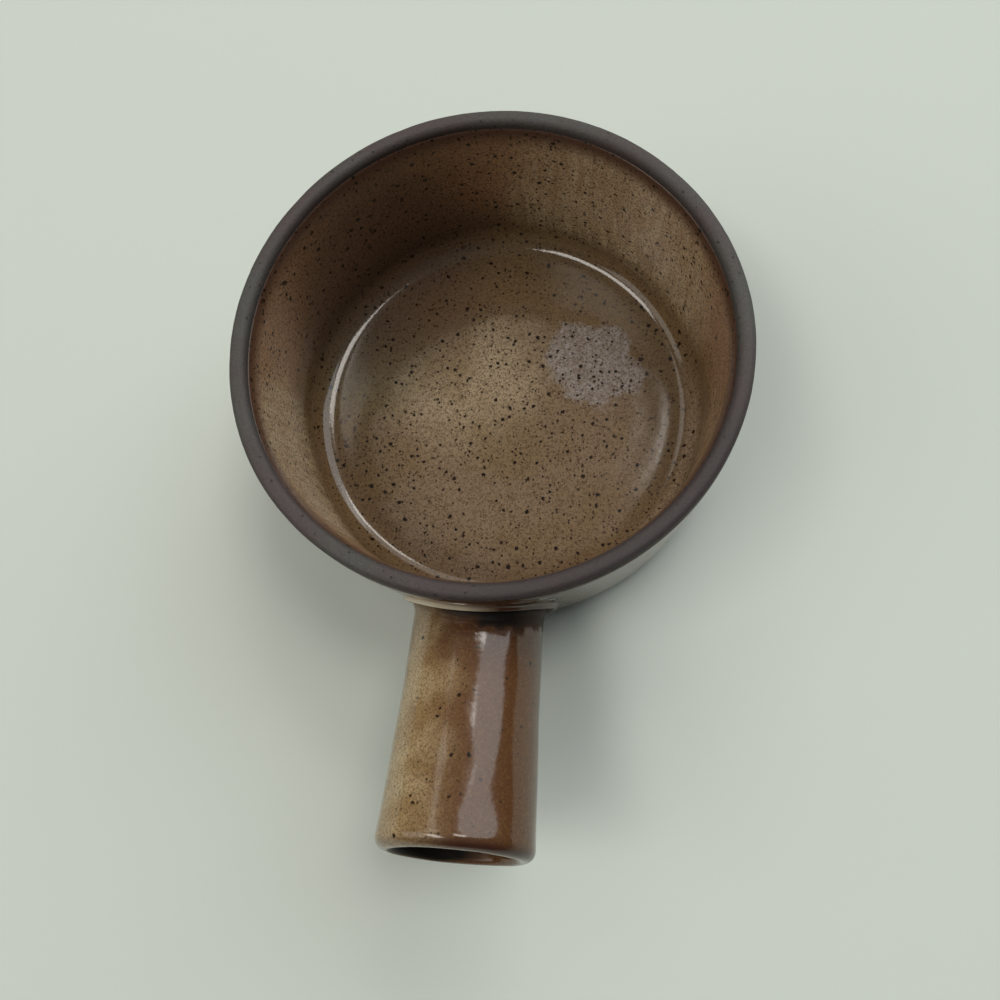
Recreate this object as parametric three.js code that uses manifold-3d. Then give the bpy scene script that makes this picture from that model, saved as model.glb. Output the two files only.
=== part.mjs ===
// A round stoneware crock with one hollow stick handle, for baking and serving one portion.
// The thrown bowl, the thrown handle and the luting coil that joins them are separate solids,
// and so are the three coats of glaze that cover them.
// Lengths are millimetres and angles are degrees. +Z is up, the foot stands on z = 0,
// and the handle points along -Y.

import * as THREE from 'three';
import { mergeVertices } from 'three/addons/utils/BufferGeometryUtils.js';
import Module from 'manifold-3d';

// Bowl: height, outside radius, how much the wall draws in to the foot, and its lower curve
const BOWL_HEIGHT = 58;
const LIP_RADIUS = 63.5;
const WALL_DRAW_IN = 1.7;
const LOWER_CURVE_RADIUS = 10;

// Bowl: wall, floor and the hollow
const LIP_THICKNESS = 4.4;
const WALL_BASE_THICKNESS = 3.6;
const FLOOR_THICKNESS = 4.4;
const FLOOR_FILLET_RADIUS = 8.5;

// Bowl: the lip, a soft bead that stands a little proud of the wall
const LIP_PROUD = 0.6;
const LIP_BEAD_HEIGHT = 3.6;
const LIP_OUTER_ROUND = 1.7;
const LIP_INNER_ROUND = 1.9;

// Bowl: the turned foot ring and the recess inside it
const FOOT_HEIGHT = 2;
const FOOT_WIDTH = 6;
const FOOT_BEVEL = 0.7;
const RECESS_DEPTH = 1.8;

// Handle: a flared tube, measured along its axis from the plane that touches the lip
const HANDLE_LENGTH = 55.8;
const HANDLE_AXIS_HEIGHT = 30.5;
const HANDLE_TILT = 15;
const HANDLE_ROOT_RADIUS = 15.6;
const HANDLE_MOUTH_RADIUS = 17.4;
const FLARE_SAG = 0.4;
const HANDLE_WALL = 3;
const MOUTH_OUTER_ROUND = 2;
const MOUTH_INNER_ROUND = 0.8;

// Luting coil: the roll of soft clay pressed into the corner between handle and wall
const COIL_LEG = 3.6;
const COIL_EDGE = 0.2;

// Glaze: its thickness, its thin edges, and where the clay is left bare
const GLAZE_THICKNESS = 0.6;
const GLAZE_EDGE = 0.25;
const GLAZE_FEATHER = 2;
const LINER_LINE_DROP = 2.6;
const WALL_LINE_DROP = 3.8;
const WALL_LINE_RISE = 5;

// Clearances: the slip film in the joint, the seat under a coat, the seam between two coats,
// and how closely the handle's reach to the wall is worked out
const SLIP_GAP = 0.3;
const COAT_SEAT = 0.1;
const COAT_SEAM = 0.3;
const REACH_TOLERANCE = 0.000001;

// Facets round the bowl, round the handle, along the handle, and on a curve
const BOWL_SIDES = 56;
const HANDLE_SIDES = 36;
const TUBE_STEPS = 3;
const CURVE_STEPS = 3;

// Fired clay and glaze
const CLAY_COLOUR = 0x4a4344;
const COIL_COLOUR = 0x5a4c46;
const LINER_COLOUR = 0x7d6850;
const WALL_COLOUR = 0x5f4a35;
const HANDLE_COLOUR = 0x8a6c43;
const CLAY_ROUGHNESS = 0.85;
const GLAZE_ROUGHNESS = 0.15;

// Sizes that follow from the ones above
const WALL_TOP_RADIUS = LIP_RADIUS - LIP_PROUD;
const WALL_BASE_RADIUS = WALL_TOP_RADIUS - WALL_DRAW_IN;
const FOOT_RADIUS = WALL_BASE_RADIUS - LOWER_CURVE_RADIUS;
const FOOT_INNER_RADIUS = FOOT_RADIUS - FOOT_WIDTH;
const WALL_BASE_HEIGHT = FOOT_HEIGHT + LOWER_CURVE_RADIUS;
const WALL_TOP_HEIGHT = BOWL_HEIGHT - LIP_BEAD_HEIGHT;
const LIP_INNER_RADIUS = LIP_RADIUS - LIP_THICKNESS;
const LIP_INNER_HEIGHT = BOWL_HEIGHT - LIP_INNER_ROUND;
const FLOOR_HEIGHT = RECESS_DEPTH + FLOOR_THICKNESS;
const HOLLOW_BASE_RADIUS = WALL_BASE_RADIUS - WALL_BASE_THICKNESS;
const HOLLOW_BASE_HEIGHT = FLOOR_HEIGHT + FLOOR_FILLET_RADIUS;
const FLOOR_RADIUS = HOLLOW_BASE_RADIUS - FLOOR_FILLET_RADIUS;
const COIL_TOE_RADIUS = HANDLE_ROOT_RADIUS + COIL_LEG;
const TUBE_END = HANDLE_LENGTH - MOUTH_OUTER_ROUND;
const QUARTER_TURN = Math.PI / 2;

// The handle's own frame: its axis is +Y there, and s is measured along it
const handle = new THREE.Group();
handle.position.set(0, -LIP_RADIUS, HANDLE_AXIS_HEIGHT);
handle.rotation.set(-THREE.MathUtils.degToRad(HANDLE_TILT), 0, Math.PI);
handle.updateMatrixWorld();

const manifold = await Module();
manifold.setup();

// Merges the vertices that coincide and drops the triangles that this folds flat.
function weld(geometry) {
  const bare = geometry.clone();
  bare.deleteAttribute('normal');
  bare.deleteAttribute('uv');
  const merged = mergeVertices(bare);
  const kept = [];
  for (let i = 0; i < merged.index.count; i += 3) {
    const corners = [0, 1, 2].map((k) => merged.index.getX(i + k));
    if (new Set(corners).size === 3) kept.push(...corners);
  }
  merged.setIndex(kept);
  return merged;
}

// A welded geometry as a solid that can be cut.
function asSolid(geometry) {
  return new manifold.Manifold(new manifold.Mesh({
    numProp: 3,
    vertProperties: new Float32Array(geometry.attributes.position.array),
    triVerts: new Uint32Array(geometry.index.array),
  }));
}

// Takes one welded geometry away from another.
function cut(body, tool) {
  const mesh = asSolid(body).subtract(asSolid(tool)).getMesh();
  const result = new THREE.BufferGeometry();
  result.setAttribute('position', new THREE.BufferAttribute(mesh.vertProperties, 3));
  result.setIndex(new THREE.BufferAttribute(mesh.triVerts, 1));
  return result;
}

// Turns an outline of radius and height about the bowl's axis, +Z.
function turnedBowl(outline) {
  return weld(new THREE.LatheGeometry(outline, BOWL_SIDES).rotateX(QUARTER_TURN));
}

// Turns an outline of radius and s about the handle's axis, +Y in its own frame.
function turnedHandle(outline) {
  return weld(new THREE.LatheGeometry(outline, HANDLE_SIDES));
}

// Joins one closed outline for each angle round the handle's axis into a ring.
function handleRing(outlineAt) {
  const positions = [];
  const faces = [];
  let count = 0;
  for (let i = 0; i < HANDLE_SIDES; i += 1) {
    const angle = (i / HANDLE_SIDES) * 2 * Math.PI;
    const outline = outlineAt(angle);
    count = outline.length;
    outline.forEach((point, j) => {
      positions.push(point.x * Math.sin(angle), point.y, point.x * Math.cos(angle));
      const here = i * count + j;
      const above = i * count + ((j + 1) % count);
      const step = i + 1 < HANDLE_SIDES ? count : count - HANDLE_SIDES * count;
      faces.push(here, here + step, above, above, here + step, above + step);
    });
  }
  const geometry = new THREE.BufferGeometry();
  geometry.setAttribute('position', new THREE.Float32BufferAttribute(positions, 3));
  geometry.setIndex(faces);
  return geometry;
}

// Moves each point of a line to the left of its travel by its own distance.
function offsetLine(points, distances) {
  return points.map((point, i) => {
    const before = points[Math.max(i - 1, 0)];
    const after = points[Math.min(i + 1, points.length - 1)];
    const travel = after.clone().sub(before).normalize();
    return point.clone().add(new THREE.Vector2(-travel.y, travel.x).multiplyScalar(distances[i]));
  });
}

// The closed outline of a coat on a line of clay: along its seat, and back along its skin.
// The coat is thin at a free edge and has its full thickness everywhere else.
function coatOutline(points, startIsFree, endIsFree) {
  const last = points.length - 1;
  const skinDistances = points.map((point, i) => {
    const free = (startIsFree && i === 0) || (endIsFree && i === last);
    return COAT_SEAT + (free ? GLAZE_EDGE : GLAZE_THICKNESS);
  });
  const seat = offsetLine(points, points.map(() => COAT_SEAT));
  const skin = offsetLine(points, skinDistances);
  return [...seat, ...skin.reverse()];
}

// The radius of the clay outside the bowl's wall at a height.
function outsideRadius(height) {
  if (height < WALL_BASE_HEIGHT) {
    const below = Math.min(WALL_BASE_HEIGHT - height, LOWER_CURVE_RADIUS);
    return FOOT_RADIUS + Math.sqrt(LOWER_CURVE_RADIUS ** 2 - below ** 2);
  }
  const share = (height - WALL_BASE_HEIGHT) / (WALL_TOP_HEIGHT - WALL_BASE_HEIGHT);
  return THREE.MathUtils.lerp(WALL_BASE_RADIUS, WALL_TOP_RADIUS, share);
}

// The radius of the clay inside the bowl's wall at a height above the floor's fillet.
function insideRadius(height) {
  const share = (height - HOLLOW_BASE_HEIGHT) / (LIP_INNER_HEIGHT - HOLLOW_BASE_HEIGHT);
  return THREE.MathUtils.lerp(HOLLOW_BASE_RADIUS, LIP_INNER_RADIUS, share);
}

// The radius of the clay outside the handle at a distance along its axis: a parabola that flares.
function tubeRadius(s) {
  const share = Math.max(s, 0) / HANDLE_LENGTH;
  const straight = THREE.MathUtils.lerp(HANDLE_ROOT_RADIUS, HANDLE_MOUTH_RADIUS, share);
  return straight - 4 * FLARE_SAG * share * (1 - share);
}

// The distance along the handle's axis at which a line beside it meets the bowl's wall.
function wallReach(radius, angle) {
  let inside = -LIP_RADIUS;
  let outside = LIP_RADIUS;
  while (outside - inside > REACH_TOLERANCE) {
    const middle = (inside + outside) / 2;
    const point = new THREE.Vector3(radius * Math.sin(angle), middle, radius * Math.cos(angle));
    point.applyMatrix4(handle.matrixWorld);
    if (Math.hypot(point.x, point.y) < outsideRadius(point.z)) inside = middle;
    else outside = middle;
  }
  return outside;
}

// The thrown bowl: foot ring, rounded lower wall, nearly upright side, bare beaded lip,
// and inside it a wall that runs through a wide fillet into a flat floor.
function bowlBody() {
  const outline = new THREE.Path();
  outline.moveTo(0, RECESS_DEPTH);
  outline.lineTo(FOOT_INNER_RADIUS - RECESS_DEPTH, RECESS_DEPTH);
  outline.lineTo(FOOT_INNER_RADIUS, 0);
  outline.lineTo(FOOT_RADIUS - FOOT_BEVEL, 0);
  outline.lineTo(FOOT_RADIUS, FOOT_BEVEL);
  outline.lineTo(FOOT_RADIUS, FOOT_HEIGHT);
  outline.absarc(FOOT_RADIUS, WALL_BASE_HEIGHT, LOWER_CURVE_RADIUS, -QUARTER_TURN, 0, false);
  outline.lineTo(WALL_TOP_RADIUS, WALL_TOP_HEIGHT);
  const outerRound = new THREE.Vector2(LIP_RADIUS - LIP_OUTER_ROUND, BOWL_HEIGHT - LIP_OUTER_ROUND);
  outline.absarc(outerRound.x, outerRound.y, LIP_OUTER_ROUND, 0, QUARTER_TURN, false);
  const innerRound = new THREE.Vector2(LIP_INNER_RADIUS + LIP_INNER_ROUND, LIP_INNER_HEIGHT);
  outline.absarc(innerRound.x, innerRound.y, LIP_INNER_ROUND, QUARTER_TURN, Math.PI, false);
  outline.lineTo(HOLLOW_BASE_RADIUS, HOLLOW_BASE_HEIGHT);
  outline.absarc(FLOOR_RADIUS, HOLLOW_BASE_HEIGHT, FLOOR_FILLET_RADIUS, 0, -QUARTER_TURN, true);
  outline.lineTo(0, FLOOR_HEIGHT);
  return turnedBowl(outline.getPoints(CURVE_STEPS));
}

// The clay line outside the bowl, from the foot ring up to the bead of the lip.
function outsideLine() {
  const line = new THREE.Path();
  line.absarc(FOOT_RADIUS, WALL_BASE_HEIGHT, LOWER_CURVE_RADIUS, -QUARTER_TURN, 0, false);
  line.lineTo(WALL_TOP_RADIUS, WALL_TOP_HEIGHT);
  return line.getPoints(CURVE_STEPS);
}

// The clay line under the wall's glaze, from the glaze line below the lip down to the one
// above the foot.
function wallLine() {
  const top = BOWL_HEIGHT - WALL_LINE_DROP;
  const endAngle = Math.asin((WALL_BASE_HEIGHT - WALL_LINE_RISE) / LOWER_CURVE_RADIUS);
  const line = new THREE.Path();
  line.moveTo(outsideRadius(top), top);
  line.lineTo(outsideRadius(top - GLAZE_FEATHER), top - GLAZE_FEATHER);
  line.lineTo(WALL_BASE_RADIUS, WALL_BASE_HEIGHT);
  line.absarc(FOOT_RADIUS, WALL_BASE_HEIGHT, LOWER_CURVE_RADIUS, 0, -endAngle, true);
  return line.getPoints(CURVE_STEPS);
}

// The clay line under the liner, from the middle of the floor up to the glaze line in the lip.
function linerLine() {
  const top = BOWL_HEIGHT - LINER_LINE_DROP;
  const line = new THREE.Path();
  line.moveTo(0, FLOOR_HEIGHT);
  line.lineTo(FLOOR_RADIUS, FLOOR_HEIGHT);
  line.absarc(FLOOR_RADIUS, HOLLOW_BASE_HEIGHT, FLOOR_FILLET_RADIUS, -QUARTER_TURN, 0, false);
  line.lineTo(insideRadius(top - GLAZE_FEATHER), top - GLAZE_FEATHER);
  line.lineTo(insideRadius(top), top);
  return line.getPoints(CURVE_STEPS);
}

// The clay line of the handle's bore, lip and outside, from one distance in the bore
// out round the mouth and back to a distance on the outside.
function tubeLine(boreStart, outsideEnd) {
  const line = new THREE.Path();
  const boreEnd = HANDLE_LENGTH - MOUTH_INNER_ROUND;
  const boreRadius = (s) => tubeRadius(s) - HANDLE_WALL;
  line.moveTo(boreRadius(boreStart), boreStart);
  for (let i = 1; i <= TUBE_STEPS; i += 1) {
    const s = THREE.MathUtils.lerp(boreStart, boreEnd, i / TUBE_STEPS);
    line.lineTo(boreRadius(s), s);
  }
  const innerRound = boreRadius(boreEnd) + MOUTH_INNER_ROUND;
  line.absarc(innerRound, boreEnd, MOUTH_INNER_ROUND, Math.PI, QUARTER_TURN, true);
  const outerRound = tubeRadius(TUBE_END) - MOUTH_OUTER_ROUND;
  line.absarc(outerRound, TUBE_END, MOUTH_OUTER_ROUND, QUARTER_TURN, 0, true);
  for (let i = 1; i <= TUBE_STEPS; i += 1) {
    const s = THREE.MathUtils.lerp(TUBE_END, outsideEnd, i / TUBE_STEPS);
    line.lineTo(tubeRadius(s), s);
  }
  return line.getPoints(CURVE_STEPS);
}

// The handle: a thrown tube with a rounded mouth, its root cut to the curve of the bowl's wall.
function handleTube() {
  const outside = new THREE.Vector2(HANDLE_ROOT_RADIUS, -LIP_RADIUS);
  const bore = new THREE.Vector2(HANDLE_ROOT_RADIUS - HANDLE_WALL, -LIP_RADIUS);
  const blank = turnedHandle([outside, ...tubeLine(0, 0).reverse(), bore, outside]);
  const wall = offsetLine(outsideLine(), outsideLine().map(() => -SLIP_GAP));
  const bottom = new THREE.Vector2(0, -LIP_RADIUS);
  const footing = new THREE.Vector2(wall[0].x, -LIP_RADIUS);
  const top = new THREE.Vector2(0, wall[wall.length - 1].y);
  const bowl = turnedBowl([bottom, footing, ...wall, top]);
  return cut(blank, bowl.applyMatrix4(handle.matrixWorld.clone().invert()));
}

// The coil's section at one angle round the handle: its footing on the wall from toe to
// corner, its head on the handle, and the hollow skin that was wiped from head to toe.
function coilSection(angle) {
  const footing = [];
  for (let i = 0; i <= CURVE_STEPS; i += 1) {
    const radius = THREE.MathUtils.lerp(COIL_TOE_RADIUS, HANDLE_ROOT_RADIUS + SLIP_GAP, i / CURVE_STEPS);
    footing.push(new THREE.Vector2(radius, wallReach(radius, angle) + SLIP_GAP));
  }
  const toe = footing[0];
  const corner = footing[CURVE_STEPS];
  const headReach = corner.y + COIL_LEG;
  const head = new THREE.Vector2(tubeRadius(headReach) + SLIP_GAP, headReach);
  const skinHead = new THREE.Vector2(head.x + COIL_EDGE, head.y);
  const skinToe = new THREE.Vector2(toe.x, toe.y + COIL_EDGE);
  const skin = new THREE.QuadraticBezierCurve(skinHead, corner, skinToe);
  return { footing, head, skin: skin.getPoints(2 * CURVE_STEPS) };
}

// The luting coil, a ring whose section follows the saddle between handle and wall.
function lutingCoil() {
  return handleRing((angle) => {
    const section = coilSection(angle);
    return [...section.footing, section.head, ...section.skin].reverse();
  });
}

// The coat on the handle: up the bore, round the mouth, down the outside and over the coil.
function handleGlaze() {
  return handleRing((angle) => {
    const section = coilSection(angle);
    const boreStart = wallReach(HANDLE_ROOT_RADIUS - HANDLE_WALL, angle) + SLIP_GAP + COAT_SEAT;
    const tube = tubeLine(boreStart, section.head.y + GLAZE_FEATHER);
    return coatOutline([...tube, ...section.skin], false, false);
  });
}

// The coat on the outside of the bowl, open where the handle and its coil meet the wall.
function wallGlaze() {
  const outline = coatOutline(wallLine(), true, true);
  const coat = turnedBowl([...outline, outline[0]]);
  const radius = COIL_TOE_RADIUS + COAT_SEAM;
  const plug = turnedHandle([
    new THREE.Vector2(0, -LIP_RADIUS),
    new THREE.Vector2(radius, -LIP_RADIUS),
    new THREE.Vector2(radius, HANDLE_LENGTH),
    new THREE.Vector2(0, HANDLE_LENGTH),
  ]);
  return cut(coat, plug.applyMatrix4(handle.matrixWorld));
}

// The coat inside the bowl.
function linerGlaze() {
  return turnedBowl(coatOutline(linerLine(), false, true));
}

function firedClay(colour) {
  return new THREE.MeshStandardMaterial({ color: colour, roughness: CLAY_ROUGHNESS, metalness: 0 });
}

function firedGlaze(colour) {
  return new THREE.MeshStandardMaterial({ color: colour, roughness: GLAZE_ROUGHNESS, metalness: 0 });
}

function piece(name, geometry, material) {
  const mesh = new THREE.Mesh(geometry, material);
  mesh.name = name;
  return mesh;
}

const pot = new THREE.Group();
pot.add(piece('bowl_body', bowlBody(), firedClay(CLAY_COLOUR)));
pot.add(piece('liner_glaze', linerGlaze(), firedGlaze(LINER_COLOUR)));
pot.add(piece('wall_glaze', wallGlaze(), firedGlaze(WALL_COLOUR)));
pot.add(handle);
handle.add(piece('handle_tube', handleTube(), firedClay(CLAY_COLOUR)));
handle.add(piece('luting_coil', lutingCoil(), firedClay(COIL_COLOUR)));
handle.add(piece('handle_glaze', handleGlaze(), firedGlaze(HANDLE_COLOUR)));

// The origin is on the table, in the middle of the whole pot's footprint.
const footprint = new THREE.Box3().setFromObject(pot, true);
pot.position.y = -(footprint.min.y + footprint.max.y) / 2;

export default pot;
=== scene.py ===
# An individual bean pot: an open stoneware crock with one hollow stick handle, in a plain studio.
# Everything is in metres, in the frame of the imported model: +Z up, the handle along -Y.
import math

import bpy
from mathutils import Matrix, Vector, noise


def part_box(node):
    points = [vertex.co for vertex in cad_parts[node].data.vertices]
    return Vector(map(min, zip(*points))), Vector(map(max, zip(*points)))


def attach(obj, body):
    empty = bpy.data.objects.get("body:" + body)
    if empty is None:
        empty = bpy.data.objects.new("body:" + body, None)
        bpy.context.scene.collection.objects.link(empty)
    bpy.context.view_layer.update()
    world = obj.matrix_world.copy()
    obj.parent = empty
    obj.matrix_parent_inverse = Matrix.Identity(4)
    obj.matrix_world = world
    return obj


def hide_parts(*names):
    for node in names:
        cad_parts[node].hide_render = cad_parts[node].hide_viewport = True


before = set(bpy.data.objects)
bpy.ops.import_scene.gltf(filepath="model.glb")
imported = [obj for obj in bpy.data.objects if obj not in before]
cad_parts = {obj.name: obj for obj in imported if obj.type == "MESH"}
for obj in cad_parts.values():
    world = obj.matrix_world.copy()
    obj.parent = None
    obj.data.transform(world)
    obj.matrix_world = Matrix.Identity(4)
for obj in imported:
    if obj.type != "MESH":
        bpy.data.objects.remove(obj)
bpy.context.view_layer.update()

# The camera
# Held by hand close over the pot, a little towards the handle and to its right, and turned. Its
# place is measured from the middle of the lip, and its view has the photograph's square frame.
MM = 0.001
POT_LOW, POT_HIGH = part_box("bowl_body")
POT_AXIS = (POT_LOW + POT_HIGH) / 2
LIP_HEIGHT = POT_HIGH.z
LIP_RADIUS = (POT_HIGH.x - POT_LOW.x) / 2
CAMERA_LENS = 30.6
CAMERA_SENSOR = 36
CAMERA_NEAREST = 10 * MM
CAMERA_DISTANCE = 203.3 * MM
CAMERA_AZIMUTH = math.radians(24.3)
CAMERA_ELEVATION = math.radians(75.2)
CAMERA_ROLL = math.radians(-21.2)
CAMERA_ASIDE = 3.5 * MM
CAMERA_UP = -38.7 * MM
CAMERA_AIM_DROP = 1 * MM


def place_camera():
    level = math.cos(CAMERA_ELEVATION)
    back = Vector((
        math.sin(CAMERA_AZIMUTH) * level,
        -math.cos(CAMERA_AZIMUTH) * level,
        math.sin(CAMERA_ELEVATION),
    ))
    level_right = Vector((0, 0, 1)).cross(back).normalized()
    level_up = back.cross(level_right)
    right = math.cos(CAMERA_ROLL) * level_right + math.sin(CAMERA_ROLL) * level_up
    up = math.cos(CAMERA_ROLL) * level_up - math.sin(CAMERA_ROLL) * level_right
    aim = Vector((POT_AXIS.x, POT_AXIS.y, LIP_HEIGHT - CAMERA_AIM_DROP))
    spot = aim + CAMERA_DISTANCE * back + CAMERA_ASIDE * right + CAMERA_UP * up
    camera = bpy.data.objects.new("camera", bpy.data.cameras.new("camera"))
    camera.data.lens = CAMERA_LENS
    camera.data.sensor_width = CAMERA_SENSOR
    camera.data.clip_start = CAMERA_NEAREST
    turn = Matrix((right, up, back)).transposed().to_4x4()
    camera.matrix_world = Matrix.Translation(spot) @ turn
    bpy.context.scene.collection.objects.link(camera)
    bpy.context.scene.camera = camera


place_camera()

# The studio
# A pale card floor in a dim room. Three bright lamps stand 3 m away, on the left, the right and
# behind. Four dimmer panels stand as far away, and three of them are larger than the lamps.
FLOOR_SIDE = 3
FLOOR_COLOUR = "#cad2cb"
CARD_ROUGHNESS = 0.9
ROOM_COLOURS = ((0.0, "#1e2022"), (0.2, "#26282a"), (0.6, "#55585a"), (1.0, "#606466"))
ROOM_STRENGTH = 1.0
LAMP_DISTANCE = 3
# Each lamp's name, its azimuth from +X towards +Y, its elevation and its turn in degrees, its
# width and height in metres, its radiance and its colour.
LAMPS = (
    ("lamp_left", -156, 64, 21, 1.45, 0.7, 7.8, "#fffaf2"),
    ("lamp_right", 40.5, 69, 49, 0.95, 0.84, 7.8, "#fffaf2"),
    ("lamp_back", 77, 50.6, 0, 0.75, 0.4, 7.8, "#fffaf2"),
    ("panel_right", 44.5, 37, 0, 2.15, 2.4, 2.5, "#e9eff1"),
    ("panel_left", -165, 36, 0, 2.0, 1.6, 1.5, "#fff8ee"),
    ("panel_left_far", 143, 55, 0, 0.8, 0.8, 1.6, "#fff8ee"),
    ("panel_back", 84, 35, 0, 2.4, 1.5, 1.4, "#fffaf2"),
)


def linear(hex_colour):
    """An sRGB hex colour as the linear colour that the shaders take."""
    channels = [int(hex_colour[i : i + 2], 16) / 255 for i in (1, 3, 5)]
    return [c / 12.92 if c <= 0.04045 else ((c + 0.055) / 1.055) ** 2.4 for c in channels] + [1]


def node(tree, kind, inputs=None, stops=(), **settings):
    """Adds a node and gives its first output that is in use. An input is a socket to link, a hex
    colour or a value. The stops are a ramp's places and colours."""
    made = tree.nodes.new("ShaderNode" + kind)
    for name, value in settings.items():
        setattr(made, name, value)
    for name, value in (inputs or {}).items():
        if isinstance(value, bpy.types.NodeSocket):
            tree.links.new(value, made.inputs[name])
        else:
            made.inputs[name].default_value = linear(value) if isinstance(value, str) else value
    for i, (place, colour) in enumerate(stops):
        elements = made.color_ramp.elements
        stop = elements[i] if i < len(elements) else elements.new(1)
        stop.position = place
        stop.color = linear(colour)
    return next(output for output in made.outputs if output.enabled)


def make_floor():
    half = FLOOR_SIDE / 2
    mesh = bpy.data.meshes.new("floor")
    corners = [(-half, -half, 0), (half, -half, 0), (half, half, 0), (-half, half, 0)]
    mesh.from_pydata(corners, [], [(0, 1, 2, 3)])
    floor = bpy.data.objects.new("floor", mesh)
    bpy.context.scene.collection.objects.link(floor)
    card = bpy.data.materials.new("painted_card")
    card.use_nodes = True
    shader = card.node_tree.nodes["Principled BSDF"]
    shader.inputs["Base Color"].default_value = linear(FLOOR_COLOUR)
    shader.inputs["Roughness"].default_value = CARD_ROUGHNESS
    mesh.materials.append(card)


def light_room():
    """The room is dark near the floor and lighter overhead."""
    world = bpy.data.worlds.new("studio")
    world.use_nodes = True
    tree = world.node_tree
    way = node(tree, "TexCoord").node.outputs["Generated"]
    height = node(tree, "SeparateXYZ", {"Vector": way}).node.outputs["Z"]
    background = tree.nodes["Background"]
    background.inputs["Strength"].default_value = ROOM_STRENGTH
    tree.links.new(node(tree, "ValToRGB", {"Fac": height}, ROOM_COLOURS), background.inputs["Color"])
    bpy.context.scene.world = world


def soft_box(name, azimuth, elevation, turn, width, height, radiance, colour):
    """A rectangular light that faces the pot."""
    level = math.cos(math.radians(elevation))
    way = Vector((
        math.cos(math.radians(azimuth)) * level,
        math.sin(math.radians(azimuth)) * level,
        math.sin(math.radians(elevation)),
    ))
    light = bpy.data.lights.new(name, "AREA")
    light.shape = "RECTANGLE"
    light.size = width
    light.size_y = height
    light.energy = radiance * math.pi * width * height
    light.color = linear(colour)[:3]
    lamp = bpy.data.objects.new(name, light)
    target = Vector((POT_AXIS.x, POT_AXIS.y, LIP_HEIGHT / 2))
    facing = way.to_track_quat("Z", "Y").to_matrix().to_4x4()
    turned = facing @ Matrix.Rotation(math.radians(turn), 4, "Z")
    lamp.matrix_world = Matrix.Translation(target + LAMP_DISTANCE * way) @ turned
    bpy.context.scene.collection.objects.link(lamp)


make_floor()
light_room()
for lamp_values in LAMPS:
    soft_box(*lamp_values)
bpy.context.scene.view_settings.view_transform = "Standard"

# The thrown bowl
# Dark stoneware, thrown on the wheel and left bare on its lip and foot, where the fired clay is
# matte and shows its grit. The rest of it is under glaze.
FOOT_HEIGHT = 2 * MM
FOOT_WIDTH = 6 * MM
FOOT_BEVEL = 0.7 * MM
FOOT_INNER_BEVEL = 0.3 * MM
RECESS_DEPTH = 1.8 * MM
LOWER_CURVE = 10 * MM
LIP_PROUD = 0.6 * MM
WALL_DRAW_IN = 1.7 * MM
LIP_THICKNESS = 4.4 * MM
LIP_BEAD = 3.6 * MM
LIP_OUTER_ROUND = 1.7 * MM
LIP_INNER_ROUND = 1.9 * MM
WALL_BASE_THICKNESS = 3.6 * MM
FLOOR_THICKNESS = 4.4 * MM
FLOOR_FILLET = 8.5 * MM
WALL_TOP_RADIUS = LIP_RADIUS - LIP_PROUD
WALL_BASE_RADIUS = WALL_TOP_RADIUS - WALL_DRAW_IN
FOOT_RADIUS = WALL_BASE_RADIUS - LOWER_CURVE
FOOT_INNER_RADIUS = FOOT_RADIUS - FOOT_WIDTH
WALL_BASE = FOOT_HEIGHT + LOWER_CURVE
WALL_TOP = LIP_HEIGHT - LIP_BEAD
LIP_INNER_RADIUS = LIP_RADIUS - LIP_THICKNESS
LIP_INNER_HEIGHT = LIP_HEIGHT - LIP_INNER_ROUND
FLOOR_HEIGHT = RECESS_DEPTH + FLOOR_THICKNESS
HOLLOW_RADIUS = WALL_BASE_RADIUS - WALL_BASE_THICKNESS
FLOOR_RADIUS = HOLLOW_RADIUS - FLOOR_FILLET
HOLLOW_BASE = FLOOR_HEIGHT + FLOOR_FILLET
# How finely the mesh follows the outline: faces round the axis, rows on each curve, the longest
# step on each straight stretch, how far from a curve the first row of the wall lies outside and
# inside, and the rings on the floor and round the axis.
BOWL_COLUMNS = 512
RECESS_ROWS = 4
LOWER_ROWS = 16
LIP_ROWS = 8
CLAY_FILLET_ROWS = 10
RECESS_STEP = 5 * MM
WALL_STEP = 4 * MM
LIP_STEP = 0.4 * MM
OUTSIDE_START = 1 * MM
INSIDE_START = 0.5 * MM
FLOOR_RING = 30 * MM
FIRST_RING = 10 * MM
ON_AXIS = 0.001 * MM
# How far the wheel and the drying pulled the rim in, in how many lobes, and how they are turned.
RIM_PULLS = ((0.16 * MM, 2, -0.7), (0.07 * MM, 3, 1.1))
# The clay's hills and dips: their height, their width and a seed. It lies a little inside the
# nominal shape, so that none stands out of it.
CLAY_SWELLS = ((0.07 * MM, 9 * MM, 1), (0.03 * MM, 2.5 * MM, 2))
CLAY_INSET = 0.09 * MM


def run(start, end, step):
    """Points from start up to, and not with, end, no further apart than step."""
    count = max(1, math.ceil((end - start).length / step))
    return [start.lerp(end, i / count) for i in range(count)]


def arc(centre, radius, start, end, count):
    """Points round a quarter or less, from one angle to the other, both in degrees."""
    turns = [math.radians(start + (end - start) * i / count) for i in range(count + 1)]
    return [Vector((centre[0] + radius * math.cos(t), centre[1] + radius * math.sin(t))) for t in turns]


def out_of_round(angle):
    """The rim's move outwards from a true circle at an angle. It is nought or less."""
    return sum(pull * (math.cos(lobes * angle + turn) - 1) for pull, lobes, turn in RIM_PULLS)


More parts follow.
